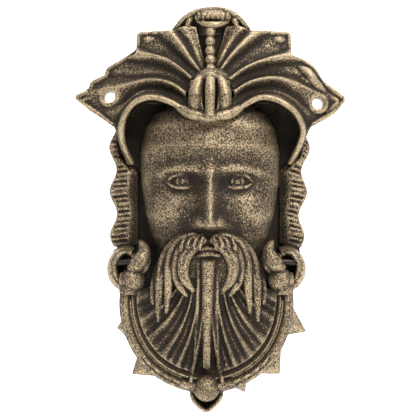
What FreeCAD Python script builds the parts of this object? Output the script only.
import FreeCAD, Part
import math
import os

# Door knocker: a hollow cast mask plate with a fluted crest, a hood over a bearded
# head, two scroll ears, and a swinging strike ring on two pressed-in steel pins.
# +Z is up, the front faces -Y and the back of the plate lies in the plane Y = 0.
# Z = 0 is the mean height of the two screw holes.

doc = FreeCAD.newDocument("door_knocker")

SIZES = [
    ("wing_reach", 71.2, "centre line to each wing tip"),
    ("crest_height", 36.0, "screw hole level to the crest corners"),
    ("scroll_rise", 12.3, "top scroll above the crest corners"),
    ("scroll_radius", 3.4, "rolled edge of the top scroll"),
    ("scroll_reach", 17.0, "rolled edge from the door"),
    ("hole_left", 52.3, "left screw hole from the centre line"),
    ("hole_right", 56.2, "right screw hole from the centre line"),
    ("hole_tilt", 1.7, "left hole above and right hole below level"),
    ("screw_hole_radius", 3.1, "fixing screw clearance"),
    ("hole_lip", 1.7, "raised lip round each screw hole"),
    ("hole_seat_reach", 12.5, "front of the screw hole lips from the door"),
    ("plate_thickness", 6.0, "flat rim of the casting"),
    ("draft", 4.0, "mould draft of the rim in degrees"),
    ("wall", 3.6, "casting wall over the hollow back"),
    ("crest_relief", 27.0, "crest flutes beside the clasp, from the door"),
    ("flute_depth", 6.0, "ridge to hollow of the crest flutes"),
    ("brim_reach", 31.0, "hood lip from the door"),
    ("clasp_reach", 38.0, "front of the clasp from the door"),
    ("clasp_width", 20.0, "knotted leaf clasp"),
    ("bead_radius", 2.7, "largest bead of the stem"),
    ("head_half_width", 36.3, "widest part of the head"),
    ("head_top", 3.0, "head top below the screw holes"),
    ("head_length", 97.0, "head top to chin"),
    ("head_edge", 9.0, "side of the head from the door"),
    ("head_relief", 23.0, "forehead above the side of the head"),
    ("nose_reach", 9.0, "nose tip above the cheeks"),
    ("eye_spacing", 28.0, "between the pupils"),
    ("eyeball_radius", 7.0, "each eyeball"),
    ("hair_reach", 51.5, "centre line to the hair waves"),
    ("hair_inner", 39.3, "inner side of the hair strips"),
    ("hair_top", 13.0, "top of the hair strips below the holes"),
    ("hair_length", 65.0, "length of the hair strips"),
    ("hair_relief", 10.5, "hair crest from the door"),
    ("comb_pitch", 4.2, "comb groove to comb groove"),
    ("comb_depth", 1.5, "depth of the comb grooves"),
    ("lower_shift", -1.8, "ring and beard centre from the crest centre"),
    ("ring_centre_drop", 103.5, "ring centre below the screw holes"),
    ("ring_radius", 40.4, "ring centre to the middle of its band"),
    ("band_width", 9.2, "band of the ring, seen from the front"),
    ("band_depth", 8.6, "band of the ring, front to back"),
    ("ring_angle", 204.0, "arc of the band in degrees"),
    ("ring_standoff", 19.0, "back of the band from the door"),
    ("strike_ball_radius", 6.7, "ball that meets the seat"),
    ("shoulder_ball_radius", 6.3, "ball under each finial"),
    ("hinge_drop", 84.0, "hinge axis below the screw holes"),
    ("hinge_reach", 21.0, "hinge axis from the door"),
    ("eye_length", 8.6, "hinge eye of the ring along the pin"),
    ("eye_radius", 4.9, "hinge eye of the ring"),
    ("finial_rise", 11.5, "finial tip above the hinge axis"),
    ("pin_radius", 2.0, "hinge pins"),
    ("pin_clearance", 0.06, "radial play of the ring on its pins"),
    ("side_play", 0.5, "ring eye to ear along the pin"),
    ("ear_wall", 3.4, "ear wall that carries the pin"),
    ("ear_height", 23.0, "scroll ear, top to bottom"),
    ("ear_depth", 28.0, "scroll ear from the door"),
    ("ear_base", 9.5, "fullest part of the scroll ear from the door"),
    ("ear_swell", 8.6, "half the width of the scroll ear's full form"),
    ("seat_gap", 0.1, "ball to seat at rest"),
    ("seat_width", 18.6, "pointed seat under the ball"),
    ("seat_drop", 58.0, "ring centre to the seat point"),
    ("beard_relief", 31.0, "beard under the mouth, from the door"),
    ("beard_rim", 13.0, "beard at the ring, from the door"),
    ("beard_gap", 1.0, "beard to the inside of the ring"),
    ("strand_pitch", 11.0, "degrees between the beard ridges"),
    ("moustache_radius", 3.2, "thickest strand of the moustache"),
]

sheet = doc.addObject("Spreadsheet::Sheet", "sizes")
for row, (alias, value, note) in enumerate(SIZES, start=1):
    sheet.set("A%d" % row, alias)
    sheet.set("B%d" % row, str(value))
    sheet.setAlias("B%d" % row, alias)
    sheet.set("C%d" % row, note)
doc.recompute()


def size(alias):
    return float(sheet.get(alias))


def at(x, reach, z):
    """A point at a distance from the door."""
    return FreeCAD.Vector(x, -reach, z)


def bind(target, **expressions):
    for name, expression in expressions.items():
        target.setExpression(name, expression)
    return target


def feature(name, shape):
    """A free-form sub-shape that the standard features don't cover."""
    item = doc.addObject("Part::Feature", name)
    item.Shape = shape
    return item


def primitive(kind, name, base, rotation=None, **expressions):
    item = doc.addObject(kind, name)
    bind(item, **expressions)
    item.Placement = FreeCAD.Placement(base, rotation or FreeCAD.Rotation())
    return item


def plane_of(body, role):
    return [f for f in body.Origin.OriginFeatures if f.Role == role][0]


def sketch_on(body, name, role, offset=None):
    sketch = body.newObject("Sketcher::SketchObject", name)
    sketch.AttachmentSupport = [(plane_of(body, role), "")]
    sketch.MapMode = "FlatFace"
    if offset is not None:
        sketch.AttachmentOffset = FreeCAD.Placement(offset, FreeCAD.Rotation())
    return sketch


def polygon(sketch, corners):
    count = len(corners)
    for i, corner in enumerate(corners):
        following = corners[(i + 1) % count]
        sketch.addGeometry(Part.LineSegment(
            FreeCAD.Vector(corner[0], corner[1], 0),
            FreeCAD.Vector(following[0], following[1], 0)))


def spline(points):
    curve = Part.BSplineCurve()
    curve.interpolate(points)
    return curve


def closed_solid(faces):
    shell = Part.makeShell(faces)
    shell.sewShape()
    solid = Part.makeSolid(shell)
    if solid.Volume < 0:
        solid.reverse()
    return solid


def flat_facets(first, second):
    """Flat facets between two neighbouring rows of points."""
    faces = []
    for a, b, c, d in zip(first, first[1:], second[1:], second):
        faces.append(Part.Face(Part.makePolygon([a, b, d, a])))
        faces.append(Part.Face(Part.makePolygon([b, c, d, b])))
    return faces


def relief_over(net, floor):
    """A cast relief: facets over a net of points, upright sides and a flat floor."""
    faces = []
    for first, second in zip(net, net[1:]):
        faces += flat_facets(first, second)
    edge = net[0] + [row[-1] for row in net[1:-1]] + net[-1][::-1]
    edge += [row[0] for row in net[1:-1]][::-1]
    edge.append(edge[0])
    foot = [FreeCAD.Vector(p.x, -floor, p.z) for p in edge]
    for a, b, c, d in zip(edge, edge[1:], foot[1:], foot):
        faces.append(Part.Face(Part.makePolygon([a, b, c, d, a])))
    faces.append(Part.Face(Part.makePolygon(foot)))
    return closed_solid(faces)


def along(curve, stations):
    span = curve.LastParameter - curve.FirstParameter
    return [curve.value(curve.FirstParameter + span * i / (stations - 1))
            for i in range(stations)]


def pleated(curves, floor, stations):
    """A relief folded between neighbouring ridge and hollow curves."""
    return relief_over([along(curve, stations) for curve in curves], floor)


def ring_points(centre, u, v, sides):
    return [centre + u * math.cos(2 * math.pi * k / sides) + v * math.sin(2 * math.pi * k / sides)
            for k in range(sides)]


def through(rings):
    """A solid lofted with flat facets through rings of points."""
    faces = [Part.Face(Part.makePolygon(rings[0] + rings[0][:1])),
             Part.Face(Part.makePolygon(rings[-1] + rings[-1][:1]))]
    for first, second in zip(rings, rings[1:]):
        faces += flat_facets(first + first[:1], second + second[:1])
    return closed_solid(faces)


def strand(points, radii, sides=7):
    """A tapering lock: faceted sections along a curve."""
    path = spline(points)
    span = path.LastParameter - path.FirstParameter
    rings = []
    across_axis = None
    for i, radius in enumerate(radii):
        t = path.FirstParameter + span * i / (len(radii) - 1)
        heading = path.tangent(t)[0]
        if across_axis is None:
            across_axis = heading.cross(FreeCAD.Vector(0.3, 1, 0.2))
        across_axis = across_axis - heading * across_axis.dot(heading)
        across_axis.normalize()
        rings.append(ring_points(path.value(t), across_axis * radius,
                                 heading.cross(across_axis) * radius, sides))
    return through(rings)


def lump(centre, wide, deep, tall, sides=12, levels=7):
    """A rounded boss of three half axes, in facets."""
    rings = []
    for i in range(levels):
        turn = math.pi * (i + 0.35) / (levels - 0.3)
        level = FreeCAD.Vector(centre.x, centre.y, centre.z - tall * math.cos(turn))
        rings.append(ring_points(level, FreeCAD.Vector(wide * math.sin(turn), 0, 0),
                                 FreeCAD.Vector(0, deep * math.sin(turn), 0), sides))
    return through(rings)


def between(a, b, t):
    return a + (b - a) * t


def bump(x, width):
    return math.exp(-(x / width) ** 2)


# ---------------------------------------------------------------- plate and hollow back
wing = size("wing_reach")
crest = size("crest_height")
hair = size("hair_reach")
shift = size("lower_shift")
ring_z = -size("ring_centre_drop")
hinge_z = -size("hinge_drop")
band_outer = size("ring_radius") + size("band_width") / 2
band_inner = size("ring_radius") - size("band_width") / 2
thick = size("plate_thickness")

CREST_LEFT = [(-0.27, 1.0), (-0.53, 0.97), (-0.535, 0.74), (-0.63, 0.60), (-0.75, 0.47),
              (-0.77, 0.36), (-0.87, 0.26), (-0.885, 0.14), (-1.0, 0.055), (-0.91, -0.09),
              (-0.70, -0.38)]
CREST_RIGHT = [(0.29, 1.0), (0.585, 0.98), (0.59, 0.65), (0.71, 0.55), (0.785, 0.42),
               (0.82, 0.28), (0.90, 0.17), (1.0, 0.02), (0.90, -0.20), (0.74, -0.38)]


def lower_point(angle, radius):
    """A point about the ring centre, the angle measured from straight down."""
    turn = math.radians(angle)
    return (shift + radius * math.sin(turn), ring_z - radius * math.cos(turn))


plate = doc.addObject("PartDesign::Body", "plate_rim")
outline = sketch_on(plate, "plate_outline", "XZ_Plane")
top = crest + size("scroll_rise")
corners = [(share * 0.27 * wing, between(crest, top, rise)) for share, rise in
           ((-0.9, 0.45), (-0.6, 0.82), (-0.2, 0.99), (0.2, 0.99), (0.65, 0.80), (0.95, 0.42))]
corners += [(x * wing, z * crest) for x, z in CREST_RIGHT]
corners += [(0.93 * hair, -0.62 * crest), (0.86 * hair, hinge_z + 6)]
corners += [lower_point(a, band_outer - 2.0) for a in (76, 60, 44, 30, 16)]
corners += [lower_point(a, band_outer - 2.0) for a in (-16, -30, -44, -60, -76)]
corners += [(-0.90 * hair, hinge_z + 6), (-0.93 * hair, -0.62 * crest)]
corners += [(x * wing, z * crest) for x, z in reversed(CREST_LEFT)]
polygon(outline, corners)
rim = plate.newObject("PartDesign::Pad", "rim_pad")
rim.Profile = outline
bind(rim, Length="sizes.plate_thickness", TaperAngle="-sizes.draft")
plate.Tip = rim
doc.recompute()

# Bevelled leaf points of the plate that show past the ring: root angles and reach.
leaves = []
for name, root_a, root_b, tip_a, reach in (
        ("leaf_right", 62, 84, 71, 56.0), ("leaf_left", 60, 80, 71, 50.5),
        ("leaf_low_right", 33, 52, 43.5, 55.5), ("leaf_low_left", 31, 54, 45, 56.5),
        ("leaf_small_right", 20, 32, 24.5, 53.0)):
    side = -1 if name.endswith("left") else 1
    base = [lower_point(side * root_a, band_outer - 6), lower_point(side * tip_a, reach),
            lower_point(side * root_b, band_outer - 6)]
    middle = (sum(p[0] for p in base) / 3, sum(p[1] for p in base) / 3)
    wires = []
    for height, keep in ((0.0, 1.0), (0.55 * thick, 0.97), (1.5 * thick, 0.45)):
        ring = [at(between(middle[0], p[0], keep), height, between(middle[1], p[1], keep))
                for p in base]
        wires.append(Part.makePolygon(ring + ring[:1]))
    leaves.append(feature(name, Part.makeLoft(wires, True, True)))

# ---------------------------------------------------------------- crest flutes and hood
relief = size("crest_relief")
deep = size("flute_depth")
brim = size("brim_reach")


def crest_side(side, ends):
    """Ridge and hollow curves from the clasp outward, from the stem round to the brim."""
    def curve(*stations):
        return spline([at(side * x * wing, reach, z * crest) for x, z, reach in stations])
    top = crest + 0.6 * size("scroll_rise")
    return [
        curve((0.020, 0.40, relief - deep), (0.05, 0.72, relief - 11), (0.09, top / crest, 14)),
        curve((0.060, 0.38, relief), (0.18, 0.68, relief - 5), (ends[0][0], ends[0][1], 17)),
        curve((0.095, 0.35, relief - 3), (0.26, 0.60, relief - 5 - deep), (ends[1][0], ends[1][1], 10)),
        curve((0.115, 0.31, relief - 1), (0.31, 0.58, relief - 8), (ends[2][0], ends[2][1], 12)),
        curve((0.135, 0.27, relief + 1), (0.34, 0.50, relief - 4), (ends[3][0], ends[3][1], 14)),
        curve((0.148, 0.20, relief - 3), (0.38, 0.41, relief - 4 - deep), (ends[4][0], ends[4][1], 10)),
        curve((0.153, 0.13, relief), (0.41, 0.37, relief - 5), (ends[5][0], ends[5][1], 11)),
        curve((0.156, 0.07, relief + 2), (0.44, 0.30, relief - 2), (ends[6][0], ends[6][1], 10)),
        curve((0.157, 0.02, relief), (0.42, 0.22, relief - 4), (0.60, 0.07, 15),
              (ends[7][0], ends[7][1], 9)),
        curve((0.150, -0.10, relief - 2), (0.40, 0.13, relief - 5), (0.60, -0.05, 18),
              (0.685, -0.42, 13), (0.67, -0.68, 10), (0.60, -0.97, 9)),
        curve((0.09, -0.35, brim - 1), (0.24, -0.12, brim), (0.355, 0.0, brim + 1),
              (0.465, -0.03, brim + 1), (0.56, -0.14, brim), (0.63, -0.28, brim - 1),
              (0.655, -0.47, brim - 3), (0.63, -0.69, brim - 6), (0.57, -0.92, brim - 11)),
    ]


left_ends = [CREST_LEFT[0], (-0.42, 0.99), CREST_LEFT[1], CREST_LEFT[2], CREST_LEFT[4],
             CREST_LEFT[6], CREST_LEFT[8], CREST_LEFT[10]]
right_ends = [CREST_RIGHT[0], (0.44, 0.99), CREST_RIGHT[1], CREST_RIGHT[2], CREST_RIGHT[3],
              CREST_RIGHT[5], CREST_RIGHT[7], CREST_RIGHT[9]]
hood_floor = 0.3 * thick
crest_curves = crest_side(-1, [(-x, z) for x, z in left_ends])[::-1] + crest_side(1, right_ends)
flutes = feature("crest_flutes", pleated(crest_curves, hood_floor, 7))

# Rolled top scroll on its pad, with a bow across the stem.
roll = size("scroll_radius")
roll_reach = size("scroll_reach") - roll
scroll_pad = doc.addObject("PartDesign::Body", "scroll_pad")
arch = sketch_on(scroll_pad, "scroll_arch", "XZ_Plane")
polygon(arch, [(share * 0.25 * wing, between(crest - 3, top - roll, rise)) for share, rise in
               ((-1.0, 0.0), (-0.85, 0.42), (-0.5, 0.85), (0.0, 1.0), (0.5, 0.85), (0.85, 0.42),
                (1.0, 0.0))])
arch_pad = scroll_pad.newObject("PartDesign::Pad", "arch_pad")
arch_pad.Profile = arch
bind(arch_pad, Length="sizes.scroll_reach - 1.3 * sizes.scroll_radius")
scroll_pad.Tip = arch_pad
scroll_roll = feature("scroll_roll", strand(
    [at(share * 0.25 * wing, roll_reach + lift, between(crest, top - roll, rise))
     for share, rise, lift in ((-1.05, 0.0, -3), (-0.72, 0.6, 0), (0.0, 1.0, 0), (0.75, 0.58, 0),
                               (1.1, 0.0, -3))],
    [0.55 * roll, 0.8 * roll, roll, roll, roll, 0.8 * roll, 0.55 * roll]))
bow = feature("stem_bow", strand(
    [at(-0.095 * wing, roll_reach, 1.09 * crest), at(0.01 * wing, roll_reach + 2, 1.06 * crest),
     at(0.12 * wing, roll_reach, 1.10 * crest)], [0.9, 1.5, 1.8, 1.5, 0.9]))

# Beaded stem from the scroll down to the clasp.
bead = size("bead_radius")
crest_group = [scroll_pad, scroll_roll, bow]
stem_top = at(0, roll_reach + 1.5, 1.05 * crest)
stem_foot = at(0, relief - deep + 1.0, 0.33 * crest)
crest_group.append(feature("stem", strand(
    [stem_top, (stem_top + stem_foot) / 2 + FreeCAD.Vector(0, 1.6, 0), stem_foot], [0.6 * bead, 0.6 * bead, 0.6 * bead])))
for i, (share, scale) in enumerate(((0.08, 0.75), (0.27, 0.85), (0.50, 1.0), (0.72, 0.95),
                                    (0.90, 0.8))):
    base = stem_top + (stem_foot - stem_top) * share
    base.y += 5.0 * share * (1 - share)
    crest_group.append(feature("bead_%d" % (i + 1), lump(base, bead * scale, bead * scale,
                                                         bead * scale, 10, 5)))

# Knotted leaf clasp: a boss, two lobes, a middle rib and a smooth lower dome.
half_clasp = size("clasp_width") / 2
clasp = size("clasp_reach")
clasp_wide = size("clasp_width")
crest_group.append(feature("clasp_boss", lump(
    at(0, 0.62 * relief, 1.5), 0.52 * clasp_wide, 0.5 * relief, 0.56 * clasp_wide)))
for side, name in ((-1, "clasp_lobe_left"), (1, "clasp_lobe_right")):
    crest_group.append(feature(name, lump(
        at(side * 0.54 * half_clasp, 0.62 * clasp, -1.0), 0.235 * clasp_wide, 0.34 * clasp,
        0.5 * clasp_wide)))
crest_group.append(feature("clasp_dome", lump(
    at(0, 0.6 * clasp, -8.2), 0.43 * clasp_wide, 0.33 * clasp, 0.33 * clasp_wide)))
crest_group.append(feature("clasp_rib", strand(
    [at(0, 0.86 * clasp, 9.5), at(0, 0.93 * clasp, 3), at(0, 0.93 * clasp, -4),
     at(0, 0.86 * clasp, -11)], [1.6, 2.6, 2.7, 2.6, 1.6])))

# ---------------------------------------------------------------- head
head_group = []
head_top = -size("head_top")
head_long = size("head_length")
head_half = size("head_half_width")
head_edge = size("head_edge")
head_relief = size("head_relief")
half_eyes = size("eye_spacing") / 2
BROW, EYES, NOSE_BASE, MOUTH = 0.35, 0.41, 0.66, 0.77
HEAD_WIDTHS = [(0.0, 0.60), (0.05, 0.82), (0.12, 0.94), (0.25, 1.0), (0.42, 0.985), (0.58, 0.92),
               (0.70, 0.83), (0.80, 0.72), (0.90, 0.55), (1.0, 0.32)]
HEAD_FULLNESS = [(0.0, 0.72), (0.10, 0.90), (0.22, 0.99), (0.36, 1.0), (0.60, 0.99), (0.78, 0.95),
                 (0.90, 0.88), (1.0, 0.78)]


def table(pairs, t):
    for (t0, v0), (t1, v1) in zip(pairs, pairs[1:]):
        if t <= t1:
            share = (t - t0) / (t1 - t0)
            return between(v0, v1, share)
    return pairs[-1][1]


def head_station(t, turn):
    """Head skin at a share t of its length and an angle round from the middle."""
    x = head_half * table(HEAD_WIDTHS, t) * math.sin(turn)
    reach = head_edge + head_relief * table(HEAD_FULLNESS, t) * math.cos(turn) ** 0.85
    across = abs(x)
    down = t * head_long
    brow = 2.4 * bump(down - BROW * head_long, 3.4) * bump(across - 13, 11)
    socket = 4.6 * bump(down - EYES * head_long - 0.5, 6.0) * bump(across - half_eyes, 8.5)
    bridge = min(max((down - BROW * head_long) / ((NOSE_BASE - BROW) * head_long), 0), 1)
    ends = 1 / (1 + math.exp((down - NOSE_BASE * head_long) / 1.0))
    nose = size("nose_reach") * (0.25 + 0.6 * bridge) * ends * bump(x, 4.2 + 2.6 * bridge)
    nose *= min(max((down - BROW * head_long + 6) / 6, 0), 1)
    cheek = 2.0 * bump(down - 0.56 * head_long, 10) * bump(across - 19, 9)
    return x, reach + brow - socket + nose + cheek, head_top - down


rows = []
for i in range(22):
    row = [head_station(i / 21, math.radians(-86 + 172 * j / 20)) for j in range(21)]
    rows.append([at(*point) for point in row])
head = feature("head_skin", relief_over(rows, 0.4 * thick))
head_group.append(head)


def face_point(x, t, lift=0.0):
    """A point over the head skin."""
    half = head_half * table(HEAD_WIDTHS, t)
    px, reach, z = head_station(t, math.asin(x / half))
    return at(px, reach + lift, z)


head_group.append(feature("nose_ridge", strand(
    [face_point(0, BROW + 0.01, -1.2), face_point(0, BROW + 0.10, -0.4), face_point(0, 0.56, 0.4),
     face_point(0, NOSE_BASE - 0.045, 0.6)], [1.9, 2.2, 2.6, 3.2, 3.0])))
ball = size("eyeball_radius")
for side, name in ((-1, "left"), (1, "right")):
    centre = face_point(side * half_eyes, EYES, 2.4 - ball)
    head_group.append(feature("eyeball_" + name, lump(centre, ball, ball, ball, 12, 7)))
    nose = size("nose_reach")
    head_group.append(feature("nostril_" + name, lump(
        face_point(side * 5.4, NOSE_BASE - 0.02, -0.5), 0.36 * nose, 0.42 * nose, 0.33 * nose,
        10, 5)))
    for lid, rise in (("upper", 4.0), ("lower", -3.6)):
        path = [face_point(side * half_eyes + dx, EYES - rise * lift / head_long, 0.3 + 0.6 * lift)
                for dx, lift in ((-8.2, 0.0), (-4.5, 0.8), (0, 1.0), (4.5, 0.8), (8.2, 0.0))]
        head_group.append(feature("lid_%s_%s" % (lid, name),
                                   strand(path, [0.6, 1.1, 1.2, 1.1, 0.6])))
for name, drop, radius in (("upper_lip", -1.3, 1.5), ("lower_lip", 1.6, 1.8)):
    path = [face_point(x, MOUTH + (drop + 0.02 * x * x) / head_long, -0.2) for x in (-7, 0, 7)]
    head_group.append(feature(name, strand(path, [0.5, 0.9 * radius, radius, 0.9 * radius, 0.5])))

# ---------------------------------------------------------------- hair strips
strips = []
comb = size("comb_pitch")
hair_inner = size("hair_inner")


def hair_strip(side, inner, lean):
    count = 2 * int(size("hair_length") / comb)
    curves = []
    for i in range(count + 1):
        drop = size("hair_top") + i * comb / 2
        wave = math.cos((drop - 24) * 2 * math.pi / 23)
        outer = hair + 1.7 * wave - lean * (drop - size("hair_top"))
        high = size("hair_relief") - (size("comb_depth") if i % 2 else 0)
        curves.append([at(side * inner, 0.7 * high, -drop + 0.9),
                       at(side * between(inner, outer, 0.55), high, -drop),
                       at(side * outer, 0.68 * high, -drop - 1.2)])
    return relief_over(curves, 0.25 * thick)


strips.append(feature("hair_left", hair_strip(-1, hair_inner + 1.9, 0.01)))
strips.append(feature("hair_right", hair_strip(1, hair_inner, 0.06)))

# ---------------------------------------------------------------- beard and moustache
beard_group = []
mouth_z = head_top - MOUTH * head_long
beard_radius = band_inner - size("beard_gap")
pitch = size("strand_pitch")
span = 9
beard_curves = []
for i in range(-2 * span, 2 * span + 1):
    angle = i * pitch / 2
    turn = math.radians(angle)
    lift = 0.9 if i % 2 == 0 else -0.9
    start = (shift * 0.5 + 10 * math.sin(turn), mouth_z - 5 - 9 * math.cos(turn))
    end = lower_point(angle * 0.97, beard_radius)
    start_reach = size("beard_relief") + lift - 3.5 * math.sin(turn) ** 2
    end_reach = size("beard_rim") + 0.7 * lift
    beard_curves.append(spline([
        at(start[0], start_reach, start[1]),
        at(between(start[0], end[0], 0.5), between(start_reach, end_reach, 0.42) + lift,
           between(start[1], end[1], 0.46)),
        at(end[0], end_reach, end[1])]))
beard_group.append(feature("beard", pleated(beard_curves, 0.4 * thick, 6)))
tuft = size("moustache_radius")
beard_group.append(feature("beard_middle", strand(
    [at(shift * 0.3, size("beard_relief") + 2, mouth_z - 3.5),
     at(shift * 0.6, size("beard_relief") - 1, mouth_z - 20),
     at(shift, between(size("beard_relief"), size("beard_rim"), 0.6), mouth_z - 42),
     at(shift, size("beard_rim") + 1, ring_z - beard_radius + 1.5)],
    [0.8 * tuft, 0.75 * tuft, 0.6 * tuft, 0.5 * tuft, 0.4 * tuft])))
for side, word in ((-1, "left"), (1, "right")):
    for number, stations in enumerate((
            ((1.5, 34, 7), (7, 33.5, 5.5), (11.5, 31, -3), (11, 31, -13), (8, 30, -20)),
            ((3, 33.5, 8), (12, 32, 7.5), (17.5, 28, -2), (19.5, 25, -17), (21.5, 19, -32)),
            ((5, 33, 9), (16, 29, 8), (22.5, 23.5, -2), (25, 20, -14), (26.5, 15.5, -23)))):
        path = [at(side * x + 0.3 * shift, reach, mouth_z + z) for x, reach, z in stations]
        beard_group.append(feature("moustache_%s_%d" % (word, number + 1), strand(
            path, [0.6 * tuft, tuft, tuft, 0.85 * tuft, 0.7 * tuft, 0.55 * tuft, 0.25 * tuft])))

# ---------------------------------------------------------------- scroll ears for the pins
ear_inner = band_outer - 0.3
ear_outer = ear_inner + 2 * size("ear_wall")
swell = size("ear_swell")
eye_mid = ear_inner - 5.6 - size("side_play") - size("eye_length") / 2
ears = []
for side, word in ((-1, "left"), (1, "right")):
    dome = feature("ear_dome_" + word, lump(
        at(shift + side * (ear_outer - swell), size("ear_base"), hinge_z - 2.5), swell,
        size("ear_depth") - size("ear_base"), 0.53 * size("ear_height"), 14, 7))
    low = primitive("Part::Box", "ear_gap_" + word,
                    at(shift + (side * ear_inner if side < 0 else ear_inner - 20), 60, hinge_z - 40),
                    Length="20", Width="60 - sizes.plate_thickness", Height="40 + 8")
    low.Placement.Base = at(shift + (-ear_inner if side < 0 else ear_inner - 20), 60, hinge_z - 40)
    back = primitive("Part::Box", "ear_back_" + word, FreeCAD.Vector(-200, 0, -300),
                     Length="400", Width="50", Height="600")
    tools = doc.addObject("Part::MultiFuse", "ear_cuts_" + word)
    tools.Shapes = [low, back]
    ear = doc.addObject("Part::Cut", "ear_" + word)
    ear.Base = dome
    ear.Tool = tools
    ears.append(ear)

# ---------------------------------------------------------------- strike seat
ball_z = ring_z - size("ring_radius") - 4.4
ball_reach = size("ring_standoff") + size("band_depth") / 2
seat_tip = ring_z - size("seat_drop")
half_seat = size("seat_width") / 2


def seat_outline(inset):
    return [(shift + x * (half_seat - inset), z + inset * k) for x, z, k in
            ((-0.80, ring_z - band_inner + 4, -1), (-1.0, ball_z - 2, 0), (-0.96, ball_z - 6, 0.4),
             (-0.45, between(ball_z, seat_tip, 0.8), 1), (0.0, seat_tip, 1.35),
             (0.45, between(ball_z, seat_tip, 0.8), 1), (0.96, ball_z - 6, 0.4),
             (1.0, ball_z - 2, 0), (0.80, ring_z - band_inner + 4, -1))]


seat = doc.addObject("PartDesign::Body", "strike_seat")
seat_sketch = sketch_on(seat, "seat_outline", "XZ_Plane")
polygon(seat_sketch, seat_outline(0.0))
seat_pad = seat.newObject("PartDesign::Pad", "seat_pad")
seat_pad.Profile = seat_sketch
bind(seat_pad, Length="sizes.ring_standoff - 1.2")
seat.Tip = seat_pad
cup = primitive("Part::Sphere", "seat_cup", at(shift, ball_reach, ball_z - 1.0),
                Radius="sizes.strike_ball_radius + 1.6")
anvil = primitive("Part::Cylinder", "seat_anvil", at(shift, 0.3 * thick, ball_z),
                  FreeCAD.Rotation(FreeCAD.Vector(1, 0, 0), 90), Radius="3.6")
anvil.Height = ball_reach - size("strike_ball_radius") - size("seat_gap") - 0.3 * thick

# ---------------------------------------------------------------- hollow back and holes
wall = size("wall")
hollows = [
    feature("hollow_head", lump(
        at(0, -0.7, head_top - 0.5 * head_long), head_half - 2.5 * wall,
        head_edge + head_relief - 2.4 * wall, 0.44 * head_long, 14, 9)),
    feature("hollow_crest", lump(
        at(0, -0.7, 0.34 * crest), 0.48 * wing, relief - 4 * wall, 0.47 * crest, 16, 7)),
    feature("hollow_beard", lump(
        at(shift, -0.7, ring_z - 4), 0.62 * size("ring_radius"), size("beard_rim") - 0.5 * wall,
        0.66 * size("ring_radius"), 16, 7)),
]
turn_back = FreeCAD.Rotation(FreeCAD.Vector(1, 0, 0), 90)
lips = []
holes = []
for name, x, z in (("left", -size("hole_left"), size("hole_tilt")),
                   ("right", size("hole_right"), -size("hole_tilt"))):
    lips.append(primitive("Part::Cylinder", "hole_lip_" + name, at(x, 0.3 * thick, z), turn_back,
                          Radius="sizes.screw_hole_radius + sizes.hole_lip",
                          Height="sizes.hole_seat_reach - 0.3 * sizes.plate_thickness"))
    holes.append(primitive("Part::Cylinder", "screw_hole_" + name, at(x, -1, z), turn_back,
                           Radius="sizes.screw_hole_radius", Height="60"))
    seat_face = at(x, size("hole_seat_reach"), z)
    holes.append(primitive("Part::Cylinder", "spot_face_" + name, seat_face, turn_back,
                           Radius="sizes.screw_hole_radius + sizes.hole_lip + 0.4", Height="25"))

pin_inner = eye_mid - size("eye_length") / 2 + 0.3
pin_lift = (size("hinge_reach") - size("ear_base")) / (size("ear_depth") - size("ear_base"))
pin_above = 2.5 / (0.53 * size("ear_height"))
pin_outer = ear_outer - swell + swell * math.sqrt(1 - pin_lift ** 2 - pin_above ** 2) - 0.6
pin_bores = []
for side, word in ((-1, "left"), (1, "right")):
    start = at(shift + side * pin_inner, size("hinge_reach"), hinge_z)
    bore = primitive("Part::Cylinder", "pin_bore_" + word, start,
                     FreeCAD.Rotation(FreeCAD.Vector(0, 1, 0), side * 90),
                     Radius="sizes.pin_radius")
    bore.Height = 40
    pin_bores.append(bore)


def united(name, shapes):
    whole = doc.addObject("Part::MultiFuse", name)
    whole.Refine = False
    whole.Shapes = shapes
    return whole


def boolean(kind, name, base, tool):
    item = doc.addObject(kind, name)
    item.Refine = False
    item.Base = base
    item.Tool = tool
    return item


crest_plate = united("crest_plate", [plate, flutes] + leaves + crest_group)
head_whole = united("head_whole", head_group)
beard_whole = united("beard_whole", beard_group)
crest_and_head = boolean("Part::Fuse", "crest_and_head", crest_plate, head_whole)
with_beard = boolean("Part::Fuse", "with_beard", crest_and_head, beard_whole)
casting = united("mask_solid", [with_beard] + strips + ears + lips + [seat])
openings = united("mask_openings", hollows + holes + pin_bores + [cup])
hollowed = boolean("Part::Cut", "mask_hollowed", casting, openings)
mask = boolean("Part::Fuse", "mask_casting", hollowed, anvil)

# ---------------------------------------------------------------- strike ring
band = doc.addObject("PartDesign::Body", "ring_band")
section = sketch_on(band, "band_section", "YZ_Plane", FreeCAD.Vector(0, ring_z, shift))
stand = size("ring_standoff")
front = stand + size("band_depth")
SECTION = [(0.08, 0.0), (0.92, 0.0), (1.0, 0.30), (0.97, 0.72), (0.80, 0.97), (0.62, 1.0),
           (0.47, 0.84), (0.36, 0.84), (0.30, 0.95), (0.17, 0.95), (0.10, 0.74), (0.0, 0.55),
           (0.0, 0.25)]
polygon(section, [(-between(stand, front, d), -between(band_inner, band_outer, r))
                  for r, d in SECTION])
sweep = band.newObject("PartDesign::Revolution", "band_sweep")
sweep.Profile = section
sweep.ReferenceAxis = (section, ["H_Axis"])
sweep.Midplane = True
bind(sweep, Angle="sizes.ring_angle")
band.Tip = sweep
knob = size("strike_ball_radius")
ring_parts = [band, feature("strike_ball", lump(at(shift, ball_reach, ball_z), knob, knob, knob,
                                                20, 11))]
half_arc = math.radians(size("ring_angle") / 2)
arm = size("ring_radius")
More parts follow.
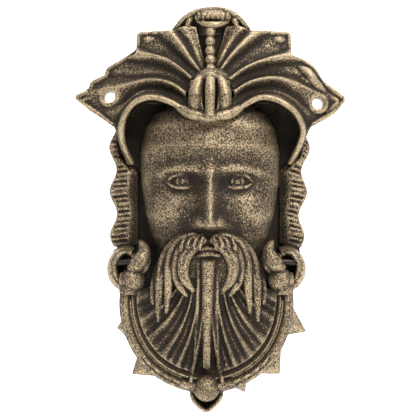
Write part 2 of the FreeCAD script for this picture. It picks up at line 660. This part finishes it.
for side, word in ((-1, "left"), (1, "right")):
    collar_x, collar_z = lower_point(side * 12, arm)
    ring_parts.append(feature("collar_" + word, lump(
        at(collar_x, ball_reach, collar_z), 2.4, 0.56 * size("band_depth"),
        0.56 * size("band_width"), 12, 7)))
    shoulder = at(shift + side * (arm * math.sin(half_arc) - 1.4), ball_reach,
                  ring_z - arm * math.cos(half_arc) + 2.0)
    swelling = size("shoulder_ball_radius")
    ring_parts.append(feature("shoulder_" + word, lump(shoulder, swelling, swelling, swelling,
                                                       16, 9)))
    eye = primitive("Part::Cylinder", "hinge_eye_" + word,
                    at(shift + side * eye_mid, size("hinge_reach"), hinge_z),
                    FreeCAD.Rotation(FreeCAD.Vector(0, 1, 0), 90), Radius="sizes.eye_radius",
                    Height="sizes.eye_length")
    eye.Placement.Base.x = shift + side * eye_mid - size("eye_length") / 2
    ring_parts.append(eye)
    rise = size("finial_rise")
    middle = shift + side * eye_mid
    ring_parts.append(feature("finial_" + word, strand(
        [at(middle + side * 1.6, ball_reach + 0.4, hinge_z - 5), at(middle, size("hinge_reach"), hinge_z),
         at(middle - side * 1.6, size("hinge_reach"), hinge_z + 0.55 * rise),
         at(middle - side * 0.6, size("hinge_reach") - 1.0, hinge_z + rise)],
        [4.3, 4.4, 4.2, 3.6, 3.2, 2.4, 1.0])))
ring_solid = doc.addObject("Part::MultiFuse", "ring_solid")
ring_solid.Shapes = ring_parts
eye_bores = doc.addObject("Part::MultiFuse", "eye_bores")
bores = []
for side, word in ((-1, "left"), (1, "right")):
    bore = primitive("Part::Cylinder", "eye_bore_" + word,
                     at(shift + side * (eye_mid - 9), size("hinge_reach"), hinge_z),
                     FreeCAD.Rotation(FreeCAD.Vector(0, 1, 0), side * 90),
                     Radius="sizes.pin_radius + sizes.pin_clearance", Height="40")
    bores.append(bore)
eye_bores.Shapes = bores
ring = doc.addObject("Part::Cut", "knocker_ring")
ring.Base = ring_solid
ring.Tool = eye_bores

# ---------------------------------------------------------------- hinge pins
pins = []
for side, word in ((-1, "left"), (1, "right")):
    pin = doc.addObject("PartDesign::Body", "hinge_pin_" + word)
    profile = sketch_on(pin, "pin_profile_" + word, "XY_Plane")
    radius = size("pin_radius")
    long = pin_outer - pin_inner
    polygon(profile, [(0, 0), (long, 0), (long, radius - 0.5), (long - 0.5, radius), (0.5, radius),
                      (0, radius - 0.5)])
    turned = pin.newObject("PartDesign::Revolution", "pin_turned_" + word)
    turned.Profile = profile
    turned.ReferenceAxis = (profile, ["H_Axis"])
    turned.Angle = 360
    pin.Tip = turned
    pin.Placement = FreeCAD.Placement(
        at(shift + side * pin_inner, size("hinge_reach"), hinge_z),
        FreeCAD.Rotation(FreeCAD.Vector(0, 0, 1), 0 if side > 0 else 180))
    pins.append(pin)

nodes = {"mask_casting": mask, "knocker_ring": ring, "hinge_pin_left": pins[0],
         "hinge_pin_right": pins[1]}
for label, node in nodes.items():
    node.Label = label
doc.recompute()

for item in doc.Objects:
    if "Invalid" in item.State or "Error" in item.State:
        raise RuntimeError("failed: " + item.Name)
for label, node in nodes.items():
    shape = node.Shape
    if shape.isNull() or not shape.isValid() or len(shape.Solids) != 1:
        raise RuntimeError("bad solid: %s, %d solids" % (label, len(shape.Solids)))
os.makedirs("parts", exist_ok=True)
for label, node in nodes.items():
    node.Shape.exportStep("parts/%s.step" % label)
    print(label, round(node.Shape.Volume), len(node.Shape.Faces), "faces")
